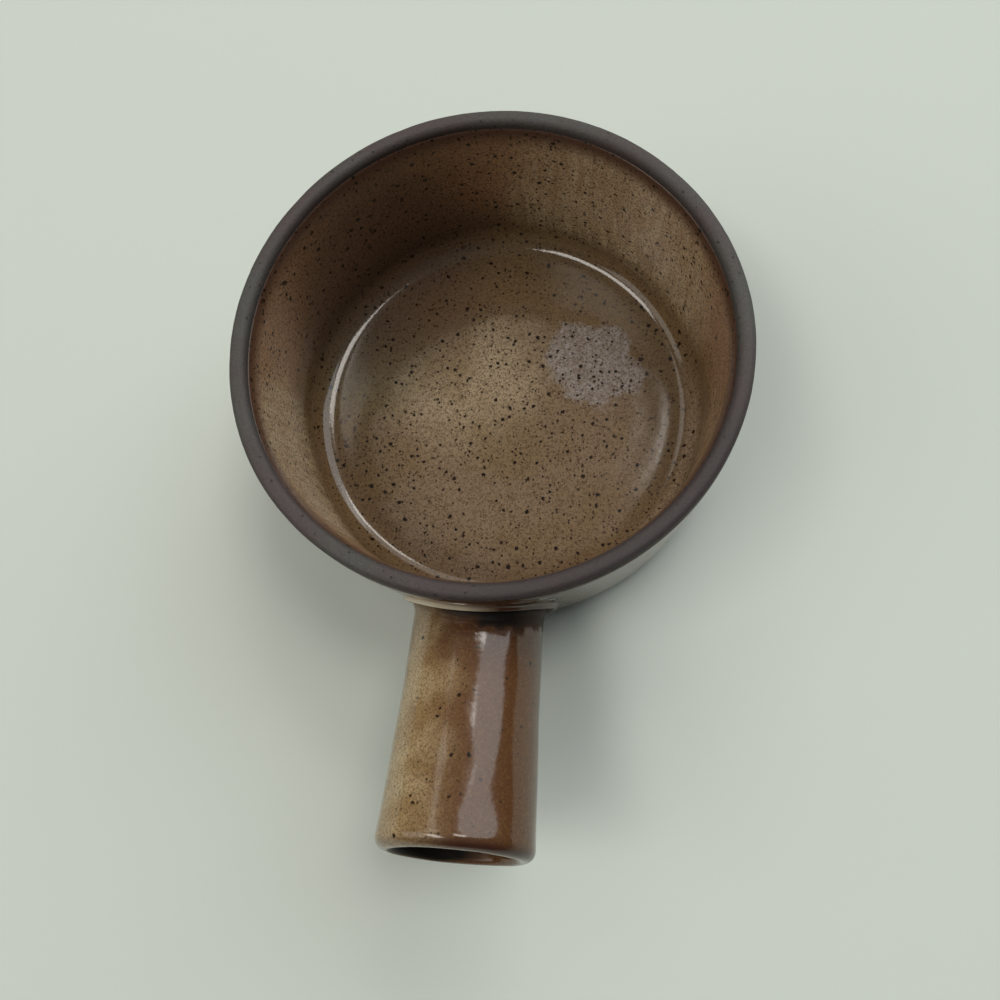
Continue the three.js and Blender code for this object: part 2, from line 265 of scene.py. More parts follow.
def spin(name, outline, columns, relief):
    """Turns a closed outline of radius and height about the pot's axis. An outline that starts on
    the axis ends there too. relief moves a point to the right of the outline's travel."""
    rows = []
    vertices = []
    for i, point in enumerate(outline):
        before = outline[max(i - 1, 0)]
        after = outline[min(i + 1, len(outline) - 1)]
        travel = (after - before).normalized()
        right = Vector((travel.y, -travel.x))
        count = 1 if point.x < ON_AXIS else columns
        rows.append((len(vertices), count))
        for j in range(count):
            angle = 2 * math.pi * j / columns
            here = point + relief(angle, point, i) * right
            radius = here.x * (1 + out_of_round(angle) / LIP_RADIUS) if count > 1 else 0
            vertices.append((
                POT_AXIS.x + radius * math.cos(angle),
                POT_AXIS.y + radius * math.sin(angle),
                here.y,
            ))
    loop = outline + outline[:1]
    area = sum(a.x * b.y - b.x * a.y for a, b in zip(loop, loop[1:]))
    ends = [] if rows[0][1] == 1 else rows[:1]
    faces = []
    for (a, a_count), (b, b_count) in zip(rows, rows[1:] + ends):
        for j in range(columns):
            k = (j + 1) % columns
            corners = [a + j % a_count, a + k % a_count, b + k % b_count, b + j % b_count]
            face = [v for n, v in enumerate(corners) if v not in corners[:n]]
            faces.append(face if area > 0 else face[::-1])
    return mesh_object(name, vertices, faces)


def mesh_object(name, vertices, faces):
    mesh = bpy.data.meshes.new(name)
    mesh.from_pydata(vertices, [], faces)
    mesh.shade_smooth()
    made = bpy.data.objects.new(name, mesh)
    bpy.context.scene.collection.objects.link(made)
    return made


def ripple(point, width, seed):
    """Smooth hills and dips of about one, as wide as width."""
    return noise.noise(Vector(point) / width + Vector((seed, 2.3 * seed, -seed)))


def swell(place, swells):
    return sum(height * ripple(place, width, seed) for height, width, seed in swells)


def wall_place(angle, point):
    return (point.x * math.cos(angle), point.x * math.sin(angle), point.y)


def bowl_outline():
    """The clay from the middle of the recess round by the foot, wall and lip to the floor."""
    recess_corner = Vector((FOOT_INNER_RADIUS - RECESS_DEPTH, RECESS_DEPTH))
    wall_top = Vector((WALL_TOP_RADIUS, WALL_TOP))
    lip_side = Vector((LIP_RADIUS, LIP_HEIGHT - LIP_OUTER_ROUND))
    lip_inner_centre = (LIP_INNER_RADIUS + LIP_INNER_ROUND, LIP_INNER_HEIGHT)
    inside_top = Vector((LIP_INNER_RADIUS, LIP_INNER_HEIGHT - INSIDE_START))
    outline = [Vector((0, RECESS_DEPTH))]
    outline += run(Vector((FIRST_RING, RECESS_DEPTH)), recess_corner, RECESS_STEP)
    outline += arc((recess_corner.x, RECESS_DEPTH / 2), RECESS_DEPTH / 2, 90, 0, RECESS_ROWS)
    outline += [
        Vector((FOOT_INNER_RADIUS, FOOT_INNER_BEVEL / 2)),
        Vector((FOOT_INNER_RADIUS + FOOT_INNER_BEVEL, 0)),
        Vector((FOOT_RADIUS - FOOT_BEVEL, 0)),
        Vector((FOOT_RADIUS, FOOT_BEVEL)),
        Vector((FOOT_RADIUS, FOOT_HEIGHT)),
    ]
    outline += arc((FOOT_RADIUS, WALL_BASE), LOWER_CURVE, -90, 0, LOWER_ROWS)
    outline += run(Vector((WALL_BASE_RADIUS, WALL_BASE + OUTSIDE_START)), wall_top, WALL_STEP)
    outline += run(wall_top, lip_side, LIP_STEP)
    outline += arc((LIP_RADIUS - LIP_OUTER_ROUND, lip_side.y), LIP_OUTER_ROUND, 0, 90, LIP_ROWS)
    outline += arc(lip_inner_centre, LIP_INNER_ROUND, 90, 180, LIP_ROWS)
    outline += run(inside_top, Vector((HOLLOW_RADIUS, HOLLOW_BASE)), WALL_STEP)
    outline += arc((FLOOR_RADIUS, HOLLOW_BASE), FLOOR_FILLET, 0, -90, CLAY_FILLET_ROWS)
    outline += [Vector((radius, FLOOR_HEIGHT)) for radius in (FLOOR_RING, FIRST_RING, 0)]
    return outline


def clay_relief(angle, point, i):
    return swell(wall_place(angle, point), CLAY_SWELLS) - CLAY_INSET


CLAY_IOR = 1.5
CLAY_ROUGHNESS = 0.68
CLAY_COLOURS = ((0.38, "#444441"), (0.5, "#44403d"), (0.62, "#443b3a"))
FLASHING = 26 * MM
# The grit that the wiping left open, how strongly it tints the clay and how far it stands up.
GRIT = 0.55 * MM
GRIT_TINT = 0.55
GRIT_HEIGHT = 0.12 * MM
GRIT_STRENGTH = 0.7
# Pits, painted dark as painted shade in the holes: the cell that one is alone in, the share of cells
# that stay whole, and the largest radius and the width of the edge, both as shares of the cell.
PIT_SHADE_COLOUR = "#221d1c"
PIT_CELL = 1.7 * MM
PIT_WHOLE = 0.45
PIT_RADIUS = 0.24
PIT_EDGE = 0.06


def from_axis(x, y, height):
    """A spot beside the pot's axis."""
    return (POT_AXIS.x + x, POT_AXIS.y + y, height)


def new_material(name):
    """A material, its nodes, and the place on the pot that its patterns follow."""
    material = bpy.data.materials.new(name)
    material.use_nodes = True
    tree = material.node_tree
    return material, tree, node(tree, "TexCoord").node.outputs["Object"]


def overlaid(tree, colour, tint, *zones):
    """Lays a tint over a colour where its zones meet: a stain, painted light or painted shade. A zone is
    a value, where on it the tint starts and is full, and how much it covers at both, where that isn't
    nought and one."""
    share = 1
    for value, start, end, *cover in zones:
        least, most = cover or (0, 1)
        step = node(tree, "MapRange", {"Value": value, "From Min": start, "From Max": end,
                                       "To Min": least, "To Max": most}, interpolation_type="SMOOTHSTEP")
        share = node(tree, "Math", {0: share, 1: step}, operation="MULTIPLY")
    return node(tree, "Mix", {"Factor": share, 6: colour, 7: tint}, data_type="RGBA")


def around(tree, place, spot, melt, push):
    """The distance from a spot, which the clouds of the melt push out by as much as push."""
    away = node(tree, "VectorMath", {0: place, 1: spot}, operation="DISTANCE")
    return node(tree, "Math", {0: melt, 1: push, 2: away}, operation="MULTIPLY_ADD")


def laid_round_spots(tree, place, melt, colour, tints):
    """Lays tints round their spots, both stains and painted light and shade. Each has its colour, its
    spot, how far the melt pushes its edge out, the distances where it starts and is full, and how much
    it then covers."""
    for tint, spot, push, start, end, most in tints:
        colour = overlaid(tree, colour, tint, (around(tree, place, spot, melt, push), start, end, 0, most))
    return colour


# The lip is darker towards the handle, on its right side.
LIP_DARKER_NEAR_HANDLE = (("#33292a", from_axis(38 * MM, -50 * MM, LIP_HEIGHT), 0, 60 * MM, 28 * MM, 0.7),)


def fired_stoneware():
    """Bare stoneware, fired and unglazed: matte, dark grey to purple-brown, open grit and pits."""
    material, tree, place = new_material("bare_fired_stoneware")
    flashing = node(tree, "TexNoise", {"Vector": place, "Scale": 1 / FLASHING, "Detail": 2.0})
    hue = node(tree, "ValToRGB", {"Fac": flashing}, CLAY_COLOURS)
    hue = laid_round_spots(tree, place, flashing, hue, LIP_DARKER_NEAR_HANDLE)
    grain = node(tree, "TexNoise", {"Vector": place, "Scale": 1 / GRIT, "Detail": 3.0})
    gritty = node(tree, "Mix", {"Factor": GRIT_TINT, 6: hue, 7: grain}, data_type="RGBA", blend_type="OVERLAY")
    pits = node(tree, "TexVoronoi", {"Vector": place, "Scale": 1 / PIT_CELL})
    chance = node(tree, "SeparateColor", {"Color": pits.node.outputs["Color"]})
    reach = node(tree, "MapRange", {"Value": chance, "From Min": PIT_WHOLE, "From Max": 1.0,
                                    "To Min": 0.0, "To Max": PIT_RADIUS})
    depth = node(tree, "Math", {0: reach, 1: pits}, operation="SUBTRACT")
    hole = node(tree, "MapRange", {"Value": depth, "From Min": 0.0, "From Max": PIT_EDGE})
    # Painted shade in the pits.
    pitted = node(tree, "Mix", {"Factor": hole, 6: gritty, 7: PIT_SHADE_COLOUR}, data_type="RGBA")
    level = node(tree, "Math", {0: grain, 1: hole}, operation="SUBTRACT")
    shader = tree.nodes["Principled BSDF"]
    shader.inputs["Roughness"].default_value = CLAY_ROUGHNESS
    shader.inputs["IOR"].default_value = CLAY_IOR
    tree.links.new(pitted, shader.inputs["Base Color"])
    rough = node(tree, "Bump", {"Height": level, "Strength": GRIT_STRENGTH, "Distance": GRIT_HEIGHT})
    tree.links.new(rough, shader.inputs["Normal"])
    return material


bare_stoneware = fired_stoneware()
bowl = spin("bowl_clay", bowl_outline(), BOWL_COLUMNS, clay_relief)
bowl.data.materials.append(bare_stoneware)
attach(bowl, "root")
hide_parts("bowl_body")

# The thrown handle
# A hollow tube of the same stoneware, thrown apart from the bowl and cut at its root to the curve
# of the wall. It lies wholly under glaze and keeps the shape that it was made to.


def leave_bare(name):
    """Keeps a piece as it was made, with the same bare clay as the lip."""
    clay_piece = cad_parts[name]
    clay_piece.data.materials.clear()
    clay_piece.data.materials.append(bare_stoneware)


leave_bare("handle_tube")

# The luting coil
# A roll of the same clay, pressed soft into the corner between handle and wall and wiped to a
# hollow fillet all round. It lies wholly under glaze too.
leave_bare("luting_coil")

# The glaze inside the bowl
# A speckled brown gloss glaze, poured in and out, so it is even on the floor, thinner up the wall
# and stops in a thin reddish line where the lip was wiped bare.
GLAZE_SKIN = 0.7 * MM
GLAZE_SEAT = -0.12 * MM
GLAZE_GRIP = 0.05 * MM
GLAZE_STEP = 0.8 * MM
LINER_DROP = 2.6 * MM
LINER_TAPER = 3.5 * MM
LINER_FADE = 6 * MM
FILLET_ROWS = 40
POOLED_RUN = 2.2 * MM
POOLED_BEND = 2.3
# The seat in the clay has one row to eight of the skin, and its first lies lower than its rim.
SEAT_EVERY = 8
LINER_SEAT_DROP = 2 * MM
# The throwing rings that show through the coat: their height and pitch, how far they wander
# round, and the width and seed of that. Then the coat's own swells, and the shorter waves that
# it has only on the wall, where they grow between two heights.
LINER_RING = (0.012 * MM, 9 * MM, 3, 30 * MM, 5)
LINER_SWELLS = ((0.05 * MM, 24 * MM, 6),)
LINER_WAVES = ((0.035 * MM, 5 * MM, 7),)
LINER_WAVES_GROW = (12 * MM, 22 * MM)


def inside_line(step):
    """The clay inside the bowl, from the middle of the floor up to the glaze line in the lip. In
    the fillet the glaze pooled, so the line leaves the floor sooner and bends up more and more."""
    hollow = Vector((HOLLOW_RADIUS, HOLLOW_BASE))
    share = (LIP_HEIGHT - LINER_DROP - HOLLOW_BASE) / (LIP_INNER_HEIGHT - HOLLOW_BASE)
    corner = Vector((FLOOR_RADIUS - POOLED_RUN, FLOOR_HEIGHT))
    line = [Vector((0, FLOOR_HEIGHT))]
    line += run(Vector((step, FLOOR_HEIGHT)), corner, step)
    turns = [math.pi / 2 * ((i + 0.5) / FILLET_ROWS) ** POOLED_BEND for i in range(FILLET_ROWS)]
    ways = [Vector((math.cos(t), math.sin(t))) for t in turns]
    reach = sum(ways, Vector((0, 0)))
    scale = Vector(((hollow.x - corner.x) / reach.x, (hollow.y - corner.y) / reach.y))
    line.append(corner)
    for way in ways:
        corner = corner + Vector((way.x * scale.x, way.y * scale.y))
        line.append(corner)
    top = hollow.lerp(Vector((LIP_INNER_RADIUS, LIP_INNER_HEIGHT)), share)
    line += run(hollow, top, step)[1:]
    line.append(top)
    return line


def shifted(points, distances):
    """Moves each point of a line to the left of its travel."""
    moved = []
    for i, point in enumerate(points):
        travel = (points[min(i + 1, len(points) - 1)] - points[max(i - 1, 0)]).normalized()
        moved.append(point + distances[i] * Vector((-travel.y, travel.x)))
    return moved


def coat(line, free_start, taper, rounded):
    """A coat's skin on a line of clay. It thins over the taper at its end, and with a free start
    there too: to a rounded edge where the glaze beaded, or to a feathered one where it was
    wiped."""
    lengths = [0]
    for a, b in zip(line, line[1:]):
        lengths.append(lengths[-1] + (b - a).length)
    depths = []
    for length in lengths:
        share = min(1, (lengths[-1] - length) / taper)
        if free_start:
            share = min(share, length / taper)
        full = math.sqrt(1 - (1 - share) ** 2) if rounded else share
        depths.append(-GLAZE_GRIP + (GLAZE_SKIN + GLAZE_GRIP) * full)
    return shifted(line, depths)


def grade_of(value, start, end):
    """How far a value has come from start to end, from nought to one."""
    return max(0, min(1, (value - start) / (end - start)))


def throwing_ring(along, turn, place, ring):
    height, pitch, wander, width, seed = ring
    return height * math.sin(2 * math.pi * along / pitch + turn + wander * ripple(place, width, seed))


def liner_relief(angle, point, i):
    """Low throwing rings and the unevenness of a melted coat, fading to nothing at its edge."""
    if i >= LINER_SKIN_ROWS:
        return 0
    place = wall_place(angle, point)
    fade = (LIP_HEIGHT - LINER_DROP - point.y) / LINER_FADE if point.y > HOLLOW_BASE else 1
    ring = throwing_ring(point.x + point.y, angle, place, LINER_RING)
    waves = swell(place, LINER_WAVES) * grade_of(point.y, *LINER_WAVES_GROW)
    return (ring + swell(place, LINER_SWELLS) + waves) * max(0, min(1, fade))


GLAZE_IOR = 1.52
GLAZE_ROUGHNESS = 0.1
DIMPLE = 1.5 * MM
DIMPLE_DEPTH = 0.03 * MM
DIMPLE_STRENGTH = 0.6
# Iron specks melted into the glaze, with a brown halo. Each class has the cell that a speck is
# alone in, its largest radius, the share of the cells that stay bare, and how much it covers.
SPECK_CORE = "#150d07"
SPECK_HALO = "#43301c"
LINER_SPECKS = (
    (2.2 * MM, 0.66 * MM, 0.1, 0.97),
    (1.15 * MM, 0.36 * MM, 0.05, 0.95),
    (0.62 * MM, 0.2 * MM, 0.1, 0.85),
)
# How far inside the speck's edge the halo and the core start and are full, and the halo's cover.
HALO_EDGE = (-0.16 * MM, 0.02 * MM)
CORE_EDGE = (-0.02 * MM, 0.12 * MM)
HALO_COVER = 0.55
# The specks are ragged: how wide the rags are, and how far they pull.
SPECK_RAG = 0.7 * MM
SPECK_RAG_PULL = 0.9 * MM
# The colour of the liner follows the clouds of its melt. It is pale in the middle of the floor and
# darkens outwards, as painted light and shade: the bright room reflected in the middle, and the
# wall's shade round it.
LINER_MELT = 17 * MM
LINER_PALE_LIT = "#a69479"
LINER_SHADED_RINGS = (
    ("#84715b", from_axis(-11 * MM, 10 * MM, FLOOR_HEIGHT), 10 * MM, 13 * MM, 38 * MM, 1),
    ("#715d43", from_axis(2 * MM, -11 * MM, FLOOR_HEIGHT), 10 * MM, 43 * MM, 48 * MM, 1),
)
LINER_CLOUD = "#78623f"
LINER_CLOUDED = (0.4, 0.7, 0, 0.5)
# It fired redder at the floor's edge and greener on one side of it. One wall, which faces away
# from the lamps, is darkened with painted shade.
LINER_FIRED = (
    ("#5e4434", from_axis(5 * MM, 12 * MM, FLOOR_HEIGHT), 10 * MM, 60 * MM, 66 * MM, 0.28),
    ("#6c6f52", from_axis(-41 * MM, 14 * MM, FLOOR_HEIGHT), 0, 24 * MM, 8 * MM, 0.4),
)
LINER_SHADED_WALL = (("#54413c", from_axis(-41 * MM, 40 * MM, 22 * MM), 0, 46 * MM, 20 * MM, 0.6),)
# A painted reflection of a bright ceiling light on the floor: a pale grey patch, mottled inside. Its
# edge has lobes and is frayed, each as wide and pushing the edge as far out as it says.
PAINTED_REFLECTION = "#a39f9f"
PAINTED_REFLECTION_SPOT = from_axis(25.5 * MM, 14 * MM, FLOOR_HEIGHT)
PAINTED_REFLECTION_EDGE = (26 * MM, 22.5 * MM)
PAINTED_REFLECTION_LOBE = 10 * MM
PAINTED_REFLECTION_LOBE_PUSH = 13 * MM
PAINTED_REFLECTION_FRAY = 2.5 * MM
PAINTED_REFLECTION_FRAY_PUSH = 8 * MM
PAINTED_REFLECTION_MOTTLE = 1.6 * MM
PAINTED_REFLECTION_MOTTLED = (0.35, 0.65, 0.4, 0.75)
# Up the wall the coat is warmer, and it breaks dark at its upper edge.
LINER_WALL = "#a8825e"
LINER_WALL_HEIGHTS = (12 * MM, 36 * MM)
LINER_EDGE = "#553b30"
LINER_EDGE_HEIGHTS = (49 * MM, 54.5 * MM)
# Painted sheen and painted light on the walls: pale streaks drawn out upright, where the glaze
# reflects light and where the wall is lit. Each group has its spot, its reach and how much it
# covers, and is full at a share of its reach.
PAINTED_SHEEN = "#c9b491"
PAINTED_SHEENS = (
    (from_axis(-50 * MM, -27 * MM, 32 * MM), 29 * MM, 1),
    (from_axis(34 * MM, 46 * MM, 30 * MM), 44 * MM, 1),
    (from_axis(50 * MM, -28 * MM, 28 * MM), 32 * MM, 0.4),
)
PAINTED_SHEENS_FULL = 0.6
PAINTED_SHEENS_HEIGHTS = (11 * MM, 17 * MM)
SHEEN_STREAK_WIDTH = 2.2 * MM
SHEEN_STRETCH = (1.0, 1.0, 0.16)
SHEEN_STREAKED = (0.34, 0.68, 0.45, 1)
# A paler band in the fillet on the side of the handle, between two heights: a painted dull
# reflection of a dim light.
FILLET_SHEEN = "#b09a84"
FILLET_SHEEN_SPOT = from_axis(32 * MM, -36 * MM, 10 * MM)
FILLET_SHEEN_BELOW = (7.2 * MM, 8.6 * MM)
FILLET_SHEEN_ABOVE = (15 * MM, 10 * MM)
FILLET_SHEEN_AROUND = (60 * MM, 36 * MM, 0, 0.5)
# Iron stipple. The real one is under 0.2 mm, too fine for this view, so it is drawn at about
# three times that.
LINER_STIPPLE = 0.6 * MM
LINER_STIPPLE_COLOUR = "#513b27"
LINER_STIPPLED = (0.46, 0.6, 0, 0.72)
# The heights between which the roughness goes from one value to the other: down to the plain
# glaze's where the floor turns up, and up again where the coat gets thinner on the wall.
FLOOR_RUB = {"From Min": 7.1 * MM, "From Max": 7.5 * MM, "To Min": 0.13, "To Max": GLAZE_ROUGHNESS}
WALL_THIN = {"From Min": 12 * MM, "From Max": 24 * MM, "To Min": 0, "To Max": 0.24}


def specked(tree, place, colour, specks):
    """Lays iron specks over a colour, each ragged as it melted."""
    rag = node(tree, "TexNoise", {"Vector": place, "Scale": 1 / SPECK_RAG, "Detail": 2.0})
    halves = {0: rag.node.outputs["Color"], 1: (0.5, 0.5, 0.5)}
    way = node(tree, "VectorMath", halves, operation="SUBTRACT")
    pull = node(tree, "VectorMath", {0: way, "Scale": SPECK_RAG_PULL}, operation="SCALE")
    ragged = node(tree, "VectorMath", {0: place, 1: pull}, operation="ADD")
    for cell, largest, bare, cover in specks:
        cells = node(tree, "TexVoronoi", {"Vector": ragged, "Scale": 1 / cell})
        chance = node(tree, "SeparateColor", {"Color": cells.node.outputs["Color"]})
        radius = node(tree, "MapRange", {"Value": chance, "From Min": bare, "From Max": 1.0, "To Min": 0.0,
                                         "To Max": largest / cell}, clamp=False)
        depth = node(tree, "Math", {0: radius, 1: cells}, operation="SUBTRACT")
        halo = (depth, HALO_EDGE[0] / cell, HALO_EDGE[1] / cell, 0, HALO_COVER * cover)
        core = (depth, CORE_EDGE[0] / cell, CORE_EDGE[1] / cell, 0, cover)
        colour = overlaid(tree, overlaid(tree, colour, SPECK_HALO, halo), SPECK_CORE, core)
    return colour


def gloss(tree, place, colour, roughness):
    """A glossy skin, smooth but for the faint dimples of a glaze that boiled and healed."""
    shader = tree.nodes["Principled BSDF"]
    shader.inputs["IOR"].default_value = GLAZE_IOR
    tree.links.new(colour, shader.inputs["Base Color"])
    if isinstance(roughness, bpy.types.NodeSocket):
        tree.links.new(roughness, shader.inputs["Roughness"])
    else:
        shader.inputs["Roughness"].default_value = roughness
    hills = node(tree, "TexNoise", {"Vector": place, "Scale": 1 / DIMPLE, "Detail": 2.0})
    dimples = node(tree, "Bump", {"Height": hills, "Strength": DIMPLE_STRENGTH, "Distance": DIMPLE_DEPTH})
    tree.links.new(dimples, shader.inputs["Normal"])


def poured_liner_glaze():
    """Glossy brown stoneware glaze: pale and greyish in the middle of the floor and darker outwards,
    warmer up the wall, dark red-brown where it breaks thin at its edge. Fine iron stipple and many
    specks show through it. Painted light and shade lie in its colour: a reflected room and ceiling
    light on the floor, the wall's shade round them, a shaded wall, and sheen on the walls and in the
    fillet."""
    material, tree, place = new_material("poured_liner_glaze")
    height = node(tree, "SeparateXYZ", {"Vector": place}).node.outputs["Z"]
    melt = node(tree, "TexNoise", {"Vector": place, "Scale": 1 / LINER_MELT, "Detail": 3.0})
    # Painted light and shade: pale where the room is reflected, darker rings in the wall's shade.
    colour = laid_round_spots(tree, place, melt, LINER_PALE_LIT, LINER_SHADED_RINGS)
    colour = overlaid(tree, colour, LINER_CLOUD, (melt, *LINER_CLOUDED))
    colour = laid_round_spots(tree, place, melt, colour, LINER_FIRED)

    # A painted reflection of a ceiling light on the floor.
    lobes = node(tree, "TexNoise", {"Vector": place, "Scale": 1 / PAINTED_REFLECTION_LOBE, "Detail": 0.0})
    fray = node(tree, "TexNoise", {"Vector": place, "Scale": 1 / PAINTED_REFLECTION_FRAY, "Detail": 4.0,
                                   "Roughness": 0.7})
    mottle = node(tree, "TexNoise", {"Vector": place, "Scale": 1 / PAINTED_REFLECTION_MOTTLE, "Detail": 3.0,
                                     "Roughness": 0.7})
    frayed = around(tree, place, PAINTED_REFLECTION_SPOT, fray, PAINTED_REFLECTION_FRAY_PUSH)
    edge = node(tree, "Math", {0: lobes, 1: PAINTED_REFLECTION_LOBE_PUSH, 2: frayed}, operation="MULTIPLY_ADD")
    reflected = overlaid(tree, colour, PAINTED_REFLECTION, (mottle, *PAINTED_REFLECTION_MOTTLED))
    colour = overlaid(tree, colour, reflected, (edge, *PAINTED_REFLECTION_EDGE))

    colour = overlaid(tree, colour, LINER_WALL, (height, *LINER_WALL_HEIGHTS))
    # Painted shade on the upper left wall.
    colour = laid_round_spots(tree, place, melt, colour, LINER_SHADED_WALL)
    # Painted sheen and painted light on the walls, in pale upright streaks.
    drawn_out = node(tree, "VectorMath", {0: place, 1: SHEEN_STRETCH}, operation="MULTIPLY")
    streak = node(tree, "TexNoise", {"Vector": drawn_out, "Scale": 1 / SHEEN_STREAK_WIDTH, "Detail": 4.0,
                                     "Roughness": 0.55})
    for spot, reach, most in PAINTED_SHEENS:
        near = (around(tree, place, spot, melt, 0), reach, PAINTED_SHEENS_FULL * reach, 0, most)
        up_the_wall = (height, *PAINTED_SHEENS_HEIGHTS)
        colour = overlaid(tree, colour, PAINTED_SHEEN, near, (streak, *SHEEN_STREAKED), up_the_wall)
    colour = overlaid(tree, colour, LINER_EDGE, (height, *LINER_EDGE_HEIGHTS))

    # Painted dull reflection in the fillet.
    near = (around(tree, place, FILLET_SHEEN_SPOT, melt, 0), *FILLET_SHEEN_AROUND)
    colour = overlaid(tree, colour, FILLET_SHEEN, (height, *FILLET_SHEEN_BELOW), (height, *FILLET_SHEEN_ABOVE), near)
    stipple = node(tree, "TexNoise", {"Vector": place, "Scale": 1 / LINER_STIPPLE, "Detail": 4.0,
                                      "Roughness": 0.85})
    colour = overlaid(tree, colour, LINER_STIPPLE_COLOUR, (stipple, *LINER_STIPPLED))
    colour = specked(tree, place, colour, LINER_SPECKS)
    rubbed = node(tree, "MapRange", {"Value": height, **FLOOR_RUB}, interpolation_type="SMOOTHSTEP")
    thin = node(tree, "MapRange", {"Value": height, **WALL_THIN}, interpolation_type="SMOOTHSTEP")
    gloss(tree, place, colour, node(tree, "Math", {0: rubbed, 1: thin}, operation="MAXIMUM"))
    return material


LINER_LINE = inside_line(GLAZE_STEP)
LINER_SKIN = coat(LINER_LINE, False, LINER_TAPER, False)
LINER_SKIN_ROWS = len(LINER_SKIN)
LINER_SEAT = shifted(LINER_LINE, [GLAZE_SEAT] * len(LINER_LINE))
seat_rim = LINER_SEAT[-1]
seat_wall = [p for p in LINER_SEAT[::-SEAT_EVERY] if p.x > 0 and p.y < seat_rim.y - LINER_SEAT_DROP]
liner_outline = LINER_SKIN + [seat_rim] + seat_wall + [Vector((0, FLOOR_HEIGHT + GLAZE_SEAT))]
liner = spin("liner_coat", liner_outline, BOWL_COLUMNS, liner_relief)
liner.data.materials.append(poured_liner_glaze())
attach(liner, "root")
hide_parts("liner_glaze")

# The glaze on the outside of the bowl
# The same glaze, dipped and thinner, from just under the lip to above the foot. The handle was
# luted on before the dipping, so the coat is open where the handle stands.
WALL_DROP = 3.8 * MM
WALL_RISE = 5 * MM
WALL_TAPER = 1.6 * MM
WALL_FADE = 4 * MM
WALL_LOWER_ROWS = 14
WALL_SEAT_END = 6
WALL_RING = (0.08 * MM, 7 * MM, 3, 35 * MM, 8)
WALL_SWELLS = ((0.07 * MM, 14 * MM, 9),)
HANDLE_HEIGHT = 30.5 * MM
HANDLE_TILT = math.radians(15)
HANDLE_ROOT = 15.6 * MM
COIL_LEG = 3.6 * MM
HANDLE_SPOT = Vector((POT_AXIS.x, POT_AXIS.y - LIP_RADIUS, HANDLE_HEIGHT))
HANDLE_TURN = Matrix.Rotation(-HANDLE_TILT, 4, "X") @ Matrix.Rotation(math.pi, 4, "Z")
HANDLE_FRAME = Matrix.Translation(HANDLE_SPOT) @ HANDLE_TURN
OPENING_DEPTH = 20 * MM
OPENING_COLUMNS = 96


def outside_line(step):
    """The clay outside the bowl, from the glaze line below the lip down to the one above the
    foot."""
    share = (LIP_HEIGHT - WALL_DROP - WALL_BASE) / (WALL_TOP - WALL_BASE)
    start = -math.degrees(math.asin((WALL_BASE - WALL_RISE) / LOWER_CURVE))
    line = arc((FOOT_RADIUS, WALL_BASE), LOWER_CURVE, start, 0, WALL_LOWER_ROWS)
    top = Vector((WALL_BASE_RADIUS, WALL_BASE)).lerp(Vector((WALL_TOP_RADIUS, WALL_TOP)), share)
    line += run(line[-1], top, step)[1:]
    line.append(top)
    return line[::-1]


def wall_relief(angle, point, i):
    """Throwing rings on the outside, and a coat that is a little thicker in places."""
    if i >= WALL_SKIN_ROWS:
        return 0
    place = wall_place(angle, point)
    fade = min(LIP_HEIGHT - WALL_DROP - point.y, point.y - WALL_RISE) / WALL_FADE
    ring = throwing_ring(point.y, angle, place, WALL_RING)
    return (ring + swell(place, WALL_SWELLS)) * max(0, min(1, fade))


def beside_handle(radius, angle, along):
    """A point at a radius and an angle round the handle's axis, so far along it."""
    return HANDLE_FRAME @ Vector((radius * math.sin(angle), along, radius * math.cos(angle)))


def open_for_handle(made):
    """Takes the coat away inside the toe of the luted joint, with a round plug on its axis."""
    turns = [2 * math.pi * j / OPENING_COLUMNS for j in range(OPENING_COLUMNS)]
    ends = (-OPENING_DEPTH, OPENING_DEPTH)
    vertices = [beside_handle(HANDLE_ROOT + COIL_LEG, turn, end) for end in ends for turn in turns]
    sides = [(j, (j + 1) % OPENING_COLUMNS) for j in range(OPENING_COLUMNS)]
    faces = [(a, b, b + OPENING_COLUMNS, a + OPENING_COLUMNS) for a, b in sides]
    faces += [tuple(range(OPENING_COLUMNS))[::-1], tuple(range(OPENING_COLUMNS, 2 * OPENING_COLUMNS))]
    plug = mesh_object("opening_plug", vertices, faces)
    cut = made.modifiers.new("opening", "BOOLEAN")
    cut.operation = "DIFFERENCE"
    cut.solver = "EXACT"
    cut.object = plug
    opened = bpy.data.meshes.new_from_object(made.evaluated_get(bpy.context.evaluated_depsgraph_get()))
    made.modifiers.clear()
    made.data = opened
    bpy.data.objects.remove(plug)


WALL_MELT = 14 * MM
WALL_COLOUR = "#7d6648"
WALL_CLOUD = "#6e5037"
WALL_CLOUDED = (0.35, 0.65)
WALL_EDGE = "#4a2f22"
WALL_EDGES_HEIGHTS = ((47 * MM, 54 * MM), (9 * MM, 5 * MM))
# The stipple is drawn about twice as coarse as the real one, which is too fine to show.
WALL_STIPPLE = 0.45 * MM
WALL_STIPPLE_COLOUR = "#4c3724"
WALL_STIPPLED = (0.42, 0.66, 0, 0.6)


